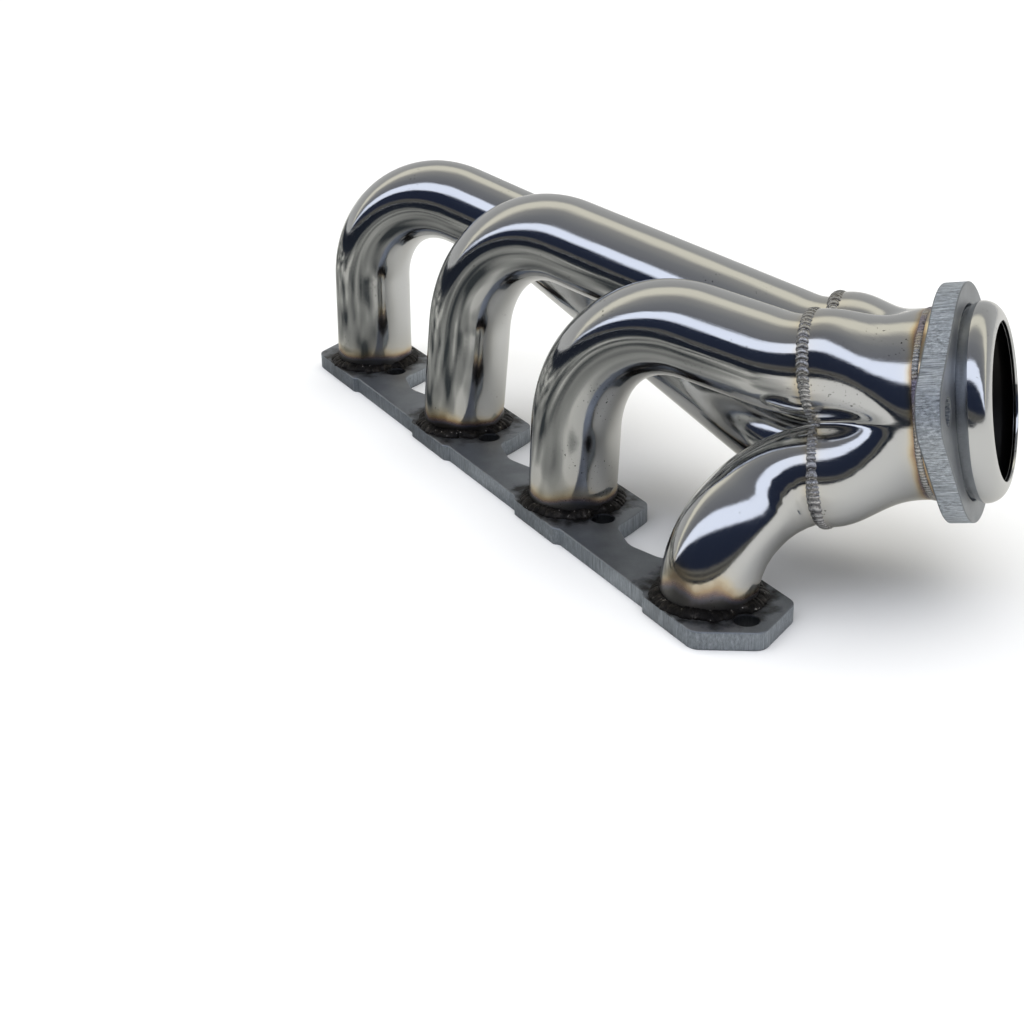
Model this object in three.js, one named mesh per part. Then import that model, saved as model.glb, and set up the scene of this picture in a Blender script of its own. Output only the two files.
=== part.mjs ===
// Four-into-one tubular exhaust manifold with a ball outlet and a loose swivel flange.
// Millimetres. +X runs along the head flange from port 1 to port 4 (the outlet end),
// +Y points to the collector side, +Z points away from the cylinder head.
// The origin is on the sealing face, on the connecting strip between ports 2 and 3.
import * as THREE from 'three';
import * as BufferGeometryUtils from 'three/addons/utils/BufferGeometryUtils.js';

// ---- head flange -------------------------------------------------------------------
const PORT_SPACING = 111.25;
const PORT_LINE_Y = 13;
const PORT_X = [-1.5, -0.5, 0.5, 1.5].map((step) => step * PORT_SPACING);
const FLANGE_THICKNESS = 8;
const PLATE_APEX = 39.2;
const PLATE_SHOULDER = 24;
const PLATE_HALF_WIDTH = 23.7;
const PLATE_REAR_WIDTH = 25.6;
const PLATE_INNER_SHOULDER = 13;
const PLATE_CORNER_RADIUS = 4;
const STRIP_INSET = 2;
const STRIP_MIDDLE_Y = -4;
const STRIP_END_X = 33;
const STRIP_END_Y = 9.7;
const STRIP_SHOULDER_X = STRIP_END_X + 4;
const STRIP_SHOULDER_Y = 1;
const BOLT_OFFSET = 26.6;
const BOLT_HOLE_RADIUS = 5.1;
const HOLE_SEGMENTS = 10;

// ---- weld around each tube foot ----------------------------------------------------------
const FOOT_WELD_RADIUS = 25.2;
const FOOT_WELD_HEIGHT = 4.4;
const FOOT_WELD_CLEARANCE = 0.55;
const FOOT_WELD_SEGMENTS = 48;

// ---- tubes -------------------------------------------------------------------------
const TUBE_RADIUS = 20;
const TUBE_WALL = 1.5;
const TUBE_RECESS = 1.5;
const FIT_GAP = 0.3;
const TUBE_SEGMENTS = 24;
const BEND_STEP = THREE.MathUtils.degToRad(12);
const MITRE_CLEARANCE = 3;
const POINT_MERGE = 0.05;
const END_BEND_RADIUS = 40;
const LEG_BLEND_RADIUS = 60;
const LEG_HEIGHT = 16;
const END_LENGTHS = [19, 10.4, 9.3];

// ---- collector, measured along the outlet axis from the weld plane --------------------
const COLLECTOR_SET_BACK = 8.875;
const COLLECTOR_ORIGIN = new THREE.Vector3(PORT_X[3] - COLLECTOR_SET_BACK, 64 + PORT_LINE_Y, 72.4);
const OUTLET_AZIMUTH = THREE.MathUtils.degToRad(40.5);
const OUTLET_RISE = THREE.MathUtils.degToRad(9);
const CLUSTER_ROLL = THREE.MathUtils.degToRad(8);
const TUBE_PITCH = 2 * TUBE_RADIUS + 3.7;
const LOBE_RADIUS = TUBE_RADIUS + 1.8;
const VALLEY_DEPTH = LOBE_RADIUS + 8.2;
const LOBE_BLEND = 12;
const COLLECTOR_WALL = 1.6;
const COLLECTOR_START = 0.4;
const COLLECTOR_LENGTH = 41;
const COLLECTOR_SEGMENTS = 64;

// ---- bead between the tubes and the collector: how far it reaches and stands proud -----------
const TUBE_LEAN_ROOM = 1.4;
const BEAD_ON_TUBE = 2.7;
const BEAD_ON_COLLECTOR = 2.9;
const BEAD_HEIGHT = 1.8;

// ---- plug between the four tube ends ------------------------------------------------------
const PLUG_BACK = -2.5;
const PLUG_TIP = 16;
const PLUG_ARM = TUBE_RADIUS + 1.2;
const PLUG_CLEARANCE = 0.45;
const PLUG_ARC_POINTS = 7;

// ---- outlet ------------------------------------------------------------------------
const NECK_RADIUS = 38.1;
const NECK_WALL = 2;
const NECK_GAP = 0.5;
const BALL_START = 56.4;
const BALL_CENTRE = 61;
const BALL_END = 68.8;
const BALL_RADIUS = 39.8;
const BALL_MOUTH_RADIUS = 31.6;
const OUTLET_FLANGE_BACK = 46.8;
const OUTLET_FLANGE_THICKNESS = 9.5;
const OUTLET_BORE_RADIUS = 38.9;
const OUTLET_HALF_HEIGHT = 47.5;
const OUTLET_EAR_RADIUS = 14.5;
const OUTLET_BOLT_OFFSET = 52.5;
const OUTLET_BOLT_RADIUS = 5.5;
const OUTLET_FLANGE_TURN = THREE.MathUtils.degToRad(16);
const NECK_BEAD_HALF_WIDTH = 1.9;
const NECK_BEAD_HEIGHT = 0.9;
const ROUND_SEGMENTS = 48;
const OUTLET_ARC_SEGMENTS = 20;

// ---- direction helpers -----------------------------------------------------------------
const outletAxis = new THREE.Vector3(
  Math.cos(OUTLET_AZIMUTH) * Math.cos(OUTLET_RISE),
  Math.sin(OUTLET_AZIMUTH) * Math.cos(OUTLET_RISE),
  Math.sin(OUTLET_RISE),
);
const levelSide = new THREE.Vector3(Math.sin(OUTLET_AZIMUTH), -Math.cos(OUTLET_AZIMUTH), 0);
const levelUp = levelSide.clone().cross(outletAxis);
const clusterSide = levelSide.clone().applyAxisAngle(outletAxis, -CLUSTER_ROLL);
const clusterUp = levelUp.clone().applyAxisAngle(outletAxis, -CLUSTER_ROLL);

function alongOutlet(distance, side = 0, up = 0) {
  return COLLECTOR_ORIGIN.clone()
    .addScaledVector(outletAxis, distance)
    .addScaledVector(clusterSide, side)
    .addScaledVector(clusterUp, up);
}

function portPoint(index, dx, dy, z) {
  return new THREE.Vector3(PORT_X[index] + dx, PORT_LINE_Y + dy, z);
}

// ---- mesh helpers ----------------------------------------------------------------------
function signedVolume(geometry) {
  const position = geometry.getAttribute('position');
  const index = geometry.getIndex();
  const [a, b, c] = [new THREE.Vector3(), new THREE.Vector3(), new THREE.Vector3()];
  let volume = 0;
  for (let i = 0; i < index.count; i += 3) {
    a.fromBufferAttribute(position, index.getX(i));
    b.fromBufferAttribute(position, index.getX(i + 1));
    c.fromBufferAttribute(position, index.getX(i + 2));
    volume += a.dot(b.cross(c)) / 6;
  }
  return volume;
}

function fromPointsAndFaces(points, faces) {
  const geometry = new THREE.BufferGeometry();
  const coordinates = points.flatMap((point) => point.toArray());
  geometry.setAttribute('position', new THREE.Float32BufferAttribute(coordinates, 3));
  geometry.setIndex(faces.flat());
  if (signedVolume(geometry) < 0) {
    geometry.setIndex(faces.map(([a, b, c]) => [a, c, b]).flat());
  }
  geometry.computeVertexNormals();
  return geometry;
}

// A closed loop of equal rings makes one hollow body: out along the outside, back along the inside.
function ringLoop(rings) {
  const size = rings[0].length;
  const faces = [];
  rings.forEach((ring, i) => {
    const next = (i + 1) % rings.length;
    for (let j = 0; j < size; j += 1) {
      const k = (j + 1) % size;
      const [a, b, c, d] = [i * size + j, i * size + k, next * size + k, next * size + j];
      faces.push([a, b, c], [a, c, d]);
    }
  });
  return fromPointsAndFaces(rings.flat(), faces);
}

function extrudedPlate(shape, thickness, curveSegments) {
  const plain = new THREE.ExtrudeGeometry(shape, { depth: thickness, bevelEnabled: false, curveSegments });
  plain.deleteAttribute('normal');
  plain.deleteAttribute('uv');
  const merged = BufferGeometryUtils.mergeVertices(plain, 1e-4);
  merged.computeVertexNormals();
  return merged;
}

function circleHole(x, y, radius) {
  const hole = new THREE.Path();
  hole.absarc(x, y, radius, 0, 2 * Math.PI, true);
  return hole;
}

// ---- tube routes ---------------------------------------------------------------------
// Straight legs through the corner points, joined by circular bends of the given radii.
function bentPath(corners, radii) {
  const stations = [{ point: corners[0], tangent: corners[1].clone().sub(corners[0]).normalize() }];
  for (let i = 1; i < corners.length - 1; i += 1) {
    const incoming = corners[i].clone().sub(corners[i - 1]).normalize();
    const outgoing = corners[i + 1].clone().sub(corners[i]).normalize();
    const turn = incoming.angleTo(outgoing);
    const radius = radii[i - 1];
    const start = corners[i].clone().addScaledVector(incoming, -radius * Math.tan(turn / 2));
    const turnAxis = incoming.clone().cross(outgoing).normalize();
    const centre = start.clone().addScaledVector(turnAxis.clone().cross(incoming), radius);
    const steps = Math.max(1, Math.round(turn / BEND_STEP));
    for (let step = 0; step <= steps; step += 1) {
      const angle = (turn * step) / steps;
      const point = start.clone().sub(centre).applyAxisAngle(turnAxis, angle).add(centre);
      stations.push({ point, tangent: incoming.clone().applyAxisAngle(turnAxis, angle) });
    }
  }
  const last = corners.length - 1;
  const lastTangent = corners[last].clone().sub(corners[last - 1]).normalize();
  const end = { point: corners[last], tangent: lastTangent };
  const clearOfEnd = stations.filter((s) => s.point.distanceTo(end.point) > MITRE_CLEARANCE);
  const isNew = (s, i, all) => i === 0 || s.point.distanceTo(all[i - 1].point) > POINT_MERGE;
  return [...clearOfEnd, end].filter(isNew);
}

// A round tube along the stations; the last ring is cut on the collector's weld plane.
function bentTube(stations, outerRadius, wall) {
  const normal = new THREE.Vector3(0, -1, 0);
  const outer = [];
  const inner = [];
  stations.forEach((station, i) => {
    const previous = i > 0 ? stations[i - 1].tangent : station.tangent;
    normal.applyQuaternion(new THREE.Quaternion().setFromUnitVectors(previous, station.tangent));
    normal.addScaledVector(station.tangent, -normal.dot(station.tangent)).normalize();
    const binormal = station.tangent.clone().cross(normal);
    const ring = (radius) => Array.from({ length: TUBE_SEGMENTS }, (_, k) => {
      const angle = (2 * Math.PI * k) / TUBE_SEGMENTS;
      const point = station.point.clone()
        .addScaledVector(normal, radius * Math.cos(angle))
        .addScaledVector(binormal, radius * Math.sin(angle));
      if (i === stations.length - 1) {
        const overshoot = point.clone().sub(COLLECTOR_ORIGIN).dot(outletAxis);
        point.addScaledVector(station.tangent, -overshoot / station.tangent.dot(outletAxis));
      }
      return point;
    });
    outer.push(ring(outerRadius));
    inner.unshift(ring(outerRadius - wall));
  });
  return ringLoop([...outer, ...inner]);
}

const HALF_PITCH = TUBE_PITCH / 2;
const SLOTS = [[-1, -1], [-1, 1], [1, 1], [1, -1]];

// Corner points between the upright leg and the collector, with one bend radius per corner.
const ROUTES = [
  { corners: [portPoint(0, 0.1, 2.5, 116.3), portPoint(0, 91.4, 57.1, 87)], radii: [47.6, 61.7] },
  { corners: [portPoint(1, 4.8, 9.2, 119.1)], radii: [56.2] },
  { corners: [portPoint(2, 4.9, 3.3, 105.6)], radii: [60] },
  { corners: [portPoint(3, 0, 0, FLANGE_THICKNESS + 20), portPoint(3, -5.9, 34.5, 47.5)], radii: [32, 34] },
];

function runnerStations(index) {
  const { corners, radii } = ROUTES[index];
  const [side, up] = SLOTS[index].map((sign) => sign * HALF_PITCH);
  const slot = alongOutlet(0, side, up);
  const foot = portPoint(index, 0, 0, TUBE_RECESS);
  if (index === 3) {
    return bentPath([foot, ...corners, slot], radii);
  }
  const legTop = portPoint(index, 0, 0, LEG_HEIGHT);
  const entry = alongOutlet(-END_LENGTHS[index], side, up);
  return bentPath([foot, legTop, ...corners, entry, slot], [LEG_BLEND_RADIUS, ...radii, END_BEND_RADIUS]);
}

function runner(index) {
  return bentTube(runnerStations(index), TUBE_RADIUS, TUBE_WALL);
}

// ---- head flange ---------------------------------------------------------------------
function roundedOutline(corners, radius) {
  const shape = new THREE.Shape();
  corners.forEach((corner, i) => {
    const before = corners[(i + corners.length - 1) % corners.length];
    const after = corners[(i + 1) % corners.length];
    const reach = Math.min(radius, corner.distanceTo(before) / 2.2, corner.distanceTo(after) / 2.2);
    const start = corner.clone().add(before.clone().sub(corner).setLength(reach));
    const end = corner.clone().add(after.clone().sub(corner).setLength(reach));
    if (i === 0) {
      shape.moveTo(start.x, start.y);
    } else {
      shape.lineTo(start.x, start.y);
    }
    shape.quadraticCurveTo(corner.x, corner.y, end.x, end.y);
  });
  shape.closePath();
  return shape;
}

function headFlange() {
  const at = (index, x, y) => new THREE.Vector2(PORT_X[index] + x, PORT_LINE_Y + y);
  const stripY = -(PLATE_HALF_WIDTH - STRIP_INSET);
  const last = PORT_X.length - 1;
  const outline = [];
  PORT_X.forEach((_, i) => {
    if (i === 0) {
      outline.push(at(i, -PLATE_APEX, 0), at(i, -PLATE_SHOULDER, -PLATE_HALF_WIDTH));
    } else {
      outline.push(at(i, -PLATE_INNER_SHOULDER - STRIP_INSET, stripY));
      outline.push(at(i, -PLATE_INNER_SHOULDER, -PLATE_HALF_WIDTH));
    }
    outline.push(at(i, PLATE_SHOULDER, -PLATE_HALF_WIDTH));
    if (i < last) {
      outline.push(at(i, PLATE_SHOULDER + STRIP_INSET, stripY));
    }
  });
  outline.push(at(last, PLATE_APEX, 0));
  for (let i = last; i >= 0; i -= 1) {
    outline.push(at(i, PLATE_SHOULDER, PLATE_REAR_WIDTH), at(i, -PLATE_SHOULDER, PLATE_REAR_WIDTH));
    if (i > 0) {
      outline.push(
        at(i, -STRIP_END_X, STRIP_END_Y),
        at(i, -STRIP_SHOULDER_X, STRIP_SHOULDER_Y),
        at(i, -PORT_SPACING / 2, STRIP_MIDDLE_Y),
        at(i - 1, STRIP_SHOULDER_X, STRIP_SHOULDER_Y),
        at(i - 1, STRIP_END_X, STRIP_END_Y),
      );
    }
  }
  const shape = roundedOutline(outline, PLATE_CORNER_RADIUS);
  PORT_X.forEach((x) => {
    shape.holes.push(circleHole(x, PORT_LINE_Y, TUBE_RADIUS + FIT_GAP));
    [x - BOLT_OFFSET, x + BOLT_OFFSET].forEach((boltX) => {
      shape.holes.push(circleHole(boltX, PORT_LINE_Y, BOLT_HOLE_RADIUS));
    });
  });
  return extrudedPlate(shape, FLANGE_THICKNESS, HOLE_SEGMENTS);
}

// ---- weld around each tube foot -----------------------------------------------------------
// The bead is nipped in beside each bolt hole so that a bolt can still pass.
function footWeldReach(angle) {
  const clear = BOLT_HOLE_RADIUS + FIT_GAP;
  const offLine = BOLT_OFFSET * Math.abs(Math.sin(angle));
  if (offLine >= clear) {
    return FOOT_WELD_RADIUS;
  }
  const nearEdge = BOLT_OFFSET * Math.abs(Math.cos(angle)) - Math.sqrt(clear ** 2 - offLine ** 2);
  return Math.min(FOOT_WELD_RADIUS, nearEdge);
}

function footWeld(index) {
  const foot = FLANGE_THICKNESS + FIT_GAP;
  const bore = TUBE_RADIUS + FOOT_WELD_CLEARANCE;
  const profile = [[0, 0], [1, 0], [0.85, 0.4], [0.45, 0.8], [0, 1]];
  const rings = profile.map(([reach, rise]) => Array.from({ length: FOOT_WELD_SEGMENTS }, (_, k) => {
    const angle = (2 * Math.PI * k) / FOOT_WELD_SEGMENTS;
    const radius = bore + reach * (footWeldReach(angle) - bore);
    const height = foot + rise * FOOT_WELD_HEIGHT;
    return portPoint(index, radius * Math.cos(angle), radius * Math.sin(angle), height);
  }));
  return ringLoop(rings);
}

// ---- collector ---------------------------------------------------------------------------
// Distance from the outlet axis to a four-lobed outline: one round lobe per tube, shallow valleys between.
function lobedRadius(angle, lobeRadius, valley) {
  const reach = HALF_PITCH * Math.SQRT2;
  const quarter = Math.PI / 2;
  const fromLobe = Math.abs((((angle % quarter) + quarter) % quarter) - quarter / 2);
  const inside = lobeRadius ** 2 - (reach * Math.sin(fromLobe)) ** 2;
  const lobe = inside > 0 ? reach * Math.cos(fromLobe) + Math.sqrt(inside) : 0;
  const flat = valley / Math.cos(quarter / 2 - fromLobe);
  return (lobe ** LOBE_BLEND + flat ** LOBE_BLEND) ** (1 / LOBE_BLEND);
}

function outletRing(distance, radiusAt, segments) {
  return Array.from({ length: segments }, (_, k) => {
    const angle = (2 * Math.PI * (k + 0.5)) / segments;
    const radius = radiusAt(angle);
    return alongOutlet(distance, radius * Math.cos(angle), radius * Math.sin(angle));
  });
}

function collectorRing(fraction, inset) {
  const distance = COLLECTOR_START + fraction * (COLLECTOR_LENGTH - COLLECTOR_START);
  const blend = THREE.MathUtils.smootherstep(fraction, 0.02, 1);
  const radiusAt = (angle) => THREE.MathUtils.lerp(
    lobedRadius(angle, LOBE_RADIUS - inset, VALLEY_DEPTH - inset),
    NECK_RADIUS - inset,
    blend,
  );
  return outletRing(distance, radiusAt, COLLECTOR_SEGMENTS);
}

function collector() {
  const fractions = [0, 0.15, 0.3, 0.45, 0.6, 0.75, 0.9, 1];
  const outer = fractions.map((fraction) => collectorRing(fraction, 0));
  const inner = fractions.map((fraction) => collectorRing(fraction, COLLECTOR_WALL)).reverse();
  return ringLoop([...outer, ...inner]);
}

// ---- bead that joins the four tubes to the collector -------------------------------------
function collectorWeld() {
  const onTube = TUBE_RADIUS + TUBE_LEAN_ROOM;
  const onCollector = LOBE_RADIUS + FIT_GAP;
  const section = [
    [-BEAD_ON_TUBE, onTube],
    [0, onTube],
    [0, onCollector],
    [BEAD_ON_COLLECTOR, onCollector],
    [0.85 * BEAD_ON_COLLECTOR, onCollector + 0.6 * BEAD_HEIGHT],
    [0.3 * BEAD_ON_COLLECTOR, onCollector + BEAD_HEIGHT],
    [-0.35 * BEAD_ON_TUBE, onCollector + 0.9 * BEAD_HEIGHT],
    [-0.9 * BEAD_ON_TUBE, onTube + 0.6 * BEAD_HEIGHT],
  ];
  const valleyOffset = VALLEY_DEPTH - LOBE_RADIUS;
  const rings = section.map(([distance, lobe]) => outletRing(
    distance,
    (angle) => lobedRadius(angle, lobe, lobe + valleyOffset),
    COLLECTOR_SEGMENTS,
  ));
  return ringLoop(rings);
}

// ---- plug that closes the star-shaped space between the four tube ends --------------------
function mergePlug() {
  const cut = TUBE_RADIUS + PLUG_CLEARANCE;
  const armHalfWidth = HALF_PITCH - Math.sqrt(cut ** 2 - (HALF_PITCH - PLUG_ARM) ** 2);
  const start = Math.atan2(armHalfWidth - HALF_PITCH, PLUG_ARM - HALF_PITCH);
  const end = -1.5 * Math.PI - start;
  const outline = [];
  for (let quarterTurn = 0; quarterTurn < 4; quarterTurn += 1) {
    for (let i = 0; i < PLUG_ARC_POINTS; i += 1) {
      const angle = THREE.MathUtils.lerp(start, end, i / (PLUG_ARC_POINTS - 1));
      const point = new THREE.Vector2(Math.cos(angle), Math.sin(angle)).multiplyScalar(cut);
      point.addScalar(HALF_PITCH);
      outline.push(point.rotateAround(new THREE.Vector2(), (quarterTurn * Math.PI) / 2));
    }
  }
  const size = outline.length;
  const back = outline.map((p) => alongOutlet(PLUG_BACK, p.x, p.y));
  const front = outline.map((p) => alongOutlet(0, p.x, p.y));
  const points = [...back, ...front, alongOutlet(PLUG_BACK), alongOutlet(PLUG_TIP)];
  const faces = outline.flatMap((_, i) => {
    const next = (i + 1) % size;
    return [
      [i, next, size + next],
      [i, size + next, size + i],
      [next, i, 2 * size],
      [size + i, size + next, 2 * size + 1],
    ];
  });
  return fromPointsAndFaces(points, faces);
}

// ---- outlet neck with its ball flare -------------------------------------------------------
function outletNeck() {
  const start = COLLECTOR_LENGTH + NECK_GAP;
  const swell = (BALL_RADIUS - NECK_RADIUS) / 2;
  const profile = [[start, NECK_RADIUS], [BALL_START, NECK_RADIUS]];
  for (let i = 1; i < 4; i += 1) {
    const angle = (Math.PI * i) / 4;
    const distance = THREE.MathUtils.lerp(BALL_START, BALL_CENTRE, i / 4);
    profile.push([distance, NECK_RADIUS + swell * (1 - Math.cos(angle))]);
  }
  for (let i = 0; i <= 6; i += 1) {
    const angle = (Math.PI / 2) * (1 - i / 6);
    profile.push([
      BALL_CENTRE + (BALL_END - BALL_CENTRE) * Math.cos(angle),
      BALL_MOUTH_RADIUS + (BALL_RADIUS - BALL_MOUTH_RADIUS) * Math.sin(angle),
    ]);
  }
  for (let i = 6; i >= 0; i -= 1) {
    const angle = (Math.PI / 2) * (1 - i / 6);
    profile.push([
      BALL_CENTRE + (BALL_END - NECK_WALL - BALL_CENTRE) * Math.cos(angle),
      BALL_MOUTH_RADIUS + (BALL_RADIUS - NECK_WALL - BALL_MOUTH_RADIUS) * Math.sin(angle),
    ]);
  }
  profile.push([BALL_START, NECK_RADIUS - NECK_WALL], [start, NECK_RADIUS - NECK_WALL]);
  return ringLoop(profile.map(([distance, radius]) => outletRing(distance, () => radius, ROUND_SEGMENTS)));
}

function neckWeld() {
  const seam = COLLECTOR_LENGTH + NECK_GAP / 2;
  const bore = NECK_RADIUS + FIT_GAP;
  const section = [[-1, 0], [1, 0], [0.8, 0.55], [0.25, 1], [-0.25, 1], [-0.8, 0.55]];
  return ringLoop(section.map(([share, rise]) => outletRing(
    seam + share * NECK_BEAD_HALF_WIDTH,
    () => bore + rise * NECK_BEAD_HEIGHT,
    ROUND_SEGMENTS,
  )));
}

// ---- loose outlet flange --------------------------------------------------------------------
function outletFlange() {
  const flank = Math.acos((OUTLET_HALF_HEIGHT - OUTLET_EAR_RADIUS) / OUTLET_BOLT_OFFSET);
  const shape = new THREE.Shape();
  shape.absarc(OUTLET_BOLT_OFFSET, 0, OUTLET_EAR_RADIUS, -flank, flank, false);
  shape.absarc(0, 0, OUTLET_HALF_HEIGHT, flank, Math.PI - flank, false);
  shape.absarc(-OUTLET_BOLT_OFFSET, 0, OUTLET_EAR_RADIUS, Math.PI - flank, Math.PI + flank, false);
  shape.absarc(0, 0, OUTLET_HALF_HEIGHT, Math.PI + flank, 2 * Math.PI - flank, false);
  shape.holes.push(circleHole(0, 0, OUTLET_BORE_RADIUS));
  [-OUTLET_BOLT_OFFSET, OUTLET_BOLT_OFFSET].forEach((boltX) => {
    shape.holes.push(circleHole(boltX, 0, OUTLET_BOLT_RADIUS));
  });
  const geometry = extrudedPlate(shape, OUTLET_FLANGE_THICKNESS, OUTLET_ARC_SEGMENTS);
  const boltLine = levelSide.clone().negate().applyAxisAngle(outletAxis, -OUTLET_FLANGE_TURN);
  const crossLine = levelUp.clone().applyAxisAngle(outletAxis, -OUTLET_FLANGE_TURN);
  const placement = new THREE.Matrix4().makeBasis(boltLine, crossLine, outletAxis);
  placement.setPosition(alongOutlet(OUTLET_FLANGE_BACK));
  return geometry.applyMatrix4(placement);
}

// ---- materials and assembly ------------------------------------------------------------------
function polishedSteel() {
  return new THREE.MeshStandardMaterial({ color: 0xc4c8c8, roughness: 0.12, metalness: 1 });
}

function platedPlate() {
  return new THREE.MeshStandardMaterial({ color: 0x8d99a3, roughness: 0.45, metalness: 0.9 });
}

function burntWeld() {
  return new THREE.MeshStandardMaterial({ color: 0x2b2824, roughness: 0.6, metalness: 0.7 });
}

function brightWeld() {
  return new THREE.MeshStandardMaterial({ color: 0xa9a8a4, roughness: 0.35, metalness: 0.95 });
}

function addNode(group, name, geometry, material) {
  const mesh = new THREE.Mesh(geometry, material);
  mesh.name = name;
  group.add(mesh);
}

const group = new THREE.Group();
group.name = 'exhaust_manifold';
addNode(group, 'head_flange', headFlange(), platedPlate());
PORT_X.forEach((_, i) => addNode(group, `runner_${i + 1}`, runner(i), polishedSteel()));
PORT_X.forEach((_, i) => addNode(group, `foot_weld_${i + 1}`, footWeld(i), burntWeld()));
addNode(group, 'collector', collector(), polishedSteel());
addNode(group, 'collector_weld', collectorWeld(), brightWeld());
addNode(group, 'merge_plug', mergePlug(), brightWeld());
addNode(group, 'outlet_neck', outletNeck(), polishedSteel());
addNode(group, 'neck_weld', neckWeld(), brightWeld());
addNode(group, 'outlet_flange', outletFlange(), platedPlate());

export default group;
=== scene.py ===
import math

import bpy
import numpy as np
from mathutils import Matrix, Vector


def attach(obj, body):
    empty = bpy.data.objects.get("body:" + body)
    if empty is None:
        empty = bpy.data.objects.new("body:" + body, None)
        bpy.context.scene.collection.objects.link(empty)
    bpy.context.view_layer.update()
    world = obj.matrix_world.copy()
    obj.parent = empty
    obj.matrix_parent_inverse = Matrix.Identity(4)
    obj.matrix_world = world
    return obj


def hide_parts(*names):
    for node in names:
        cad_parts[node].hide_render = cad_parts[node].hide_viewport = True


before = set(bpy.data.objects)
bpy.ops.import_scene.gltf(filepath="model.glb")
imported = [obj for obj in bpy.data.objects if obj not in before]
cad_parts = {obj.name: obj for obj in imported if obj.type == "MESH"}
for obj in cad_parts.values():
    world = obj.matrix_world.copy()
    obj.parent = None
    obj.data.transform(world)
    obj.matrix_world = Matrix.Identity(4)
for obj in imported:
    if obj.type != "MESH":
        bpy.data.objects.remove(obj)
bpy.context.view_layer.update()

MM = 0.001

# ---- sizes shared with the CAD model, in millimetres ---------------------------------------------
PORT_SPACING = 111.25
PORT_LINE_Y = 13.0
PORT_X = [step * PORT_SPACING for step in (-1.5, -0.5, 0.5, 1.5)]
FLANGE_THICKNESS = 8.0
PLATE_APEX = 39.2
PLATE_SHOULDER = 24.0
PLATE_HALF_WIDTH = 23.7
PLATE_REAR_WIDTH = 25.6
PLATE_INNER_SHOULDER = 13.0
PLATE_CORNER_RADIUS = 4.0
STRIP_INSET = 2.0
STRIP_MIDDLE_Y = -4.0
STRIP_END_X = 33.0
STRIP_END_Y = 9.7
BOLT_OFFSET = 26.6
BOLT_HOLE_RADIUS = 5.1
TUBE_RADIUS = 20.0
TUBE_WALL = 1.5
TUBE_RECESS = 1.5
COLLECTOR_ORIGIN = np.array([158.0, 64.0 + PORT_LINE_Y, 72.4])
OUTLET_AZIMUTH = math.radians(40.5)
OUTLET_RISE = math.radians(9.0)
CLUSTER_ROLL = math.radians(8.0)
HALF_PITCH = 43.7 / 2
LOBE_RADIUS = 21.8
VALLEY_DEPTH = 30.0
LOBE_BLEND = 12.0
COLLECTOR_WALL = 1.6
COLLECTOR_LENGTH = 41.0
NECK_RADIUS = 38.1
NECK_WALL = 2.0
BALL_START = 56.4
BALL_CENTRE = 61.0
BALL_END = 68.8
BALL_RADIUS = 39.8
BALL_MOUTH_RADIUS = 31.6
OUTLET_FLANGE_BACK = 46.8
OUTLET_FLANGE_THICKNESS = 9.5
OUTLET_BORE_RADIUS = 38.9
OUTLET_HALF_HEIGHT = 47.5
OUTLET_EAR_RADIUS = 14.5
OUTLET_BOLT_OFFSET = 52.5
OUTLET_BOLT_RADIUS = 5.5
OUTLET_FLANGE_TURN = math.radians(16.0)
END_BEND_RADIUS = 40.0
LEG_BLEND_RADIUS = 60.0
LEG_HEIGHT = 16.0
END_LENGTHS = [19.0, 10.4, 9.3]
# the side and height at which each tube enters the collector, in half pitches
SLOTS = [(-1, -1), (-1, 1), (1, 1), (1, -1)]

# ---- detail sizes used only here -----------------------------------------------------------------
TUBE_SEGMENTS = 80
STATION_SPACING = 3.0
SHORTEST_LEG = 0.3
COLLECTOR_START = 0.4
NECK_START = COLLECTOR_LENGTH + 0.5
NECK_SEGMENTS = 160
MOUTH_LIP_OUTWARD = 0.25
MOUTH_LIP_DEPTH = 0.4
PLATE_EDGE_ROUND = 0.35
PLATE_CORNER_STEPS = 8
PORT_CLEARANCE = 0.3
STRIP_BEND_RUN = 4.0
STRIP_BEND_Y = 1.0

# ---- directions ----------------------------------------------------------------------------------
OUTLET_AXIS = np.array([
    math.cos(OUTLET_AZIMUTH) * math.cos(OUTLET_RISE),
    math.sin(OUTLET_AZIMUTH) * math.cos(OUTLET_RISE),
    math.sin(OUTLET_RISE),
])
LEVEL_SIDE = np.array([math.sin(OUTLET_AZIMUTH), -math.cos(OUTLET_AZIMUTH), 0.0])
LEVEL_UP = np.cross(LEVEL_SIDE, OUTLET_AXIS)


def unit(v):
    return v / np.linalg.norm(v)


def turned(v, axis, angle):
    """Rodrigues' rotation of one vector or a stack of vectors about a unit axis."""
    along = (v @ axis)[..., None] * axis
    return along + (v - along) * math.cos(angle) + np.cross(axis, v) * math.sin(angle)


CLUSTER_SIDE = turned(LEVEL_SIDE, OUTLET_AXIS, -CLUSTER_ROLL)
CLUSTER_UP = turned(LEVEL_UP, OUTLET_AXIS, -CLUSTER_ROLL)


def along_outlet(distance, side, up):
    return COLLECTOR_ORIGIN + distance * OUTLET_AXIS + side * CLUSTER_SIDE + up * CLUSTER_UP


def port_point(index, dx, dy, z):
    return np.array([PORT_X[index] + dx, PORT_LINE_Y + dy, z])


# each tube's corners between its foot and its end, with the bend radii, as in the CAD model
ROUTES = [
    ([port_point(0, 0.1, 2.5, 116.3), port_point(0, 91.4, 57.1, 87.0)], [47.6, 61.7]),
    ([port_point(1, 4.8, 9.2, 119.1)], [56.2]),
    ([port_point(2, 4.9, 3.3, 105.6)], [60.0]),
    ([port_point(3, 0.0, 0.0, 28.0), port_point(3, -5.9, 34.5, 47.5)], [32.0, 34.0]),
]


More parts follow.
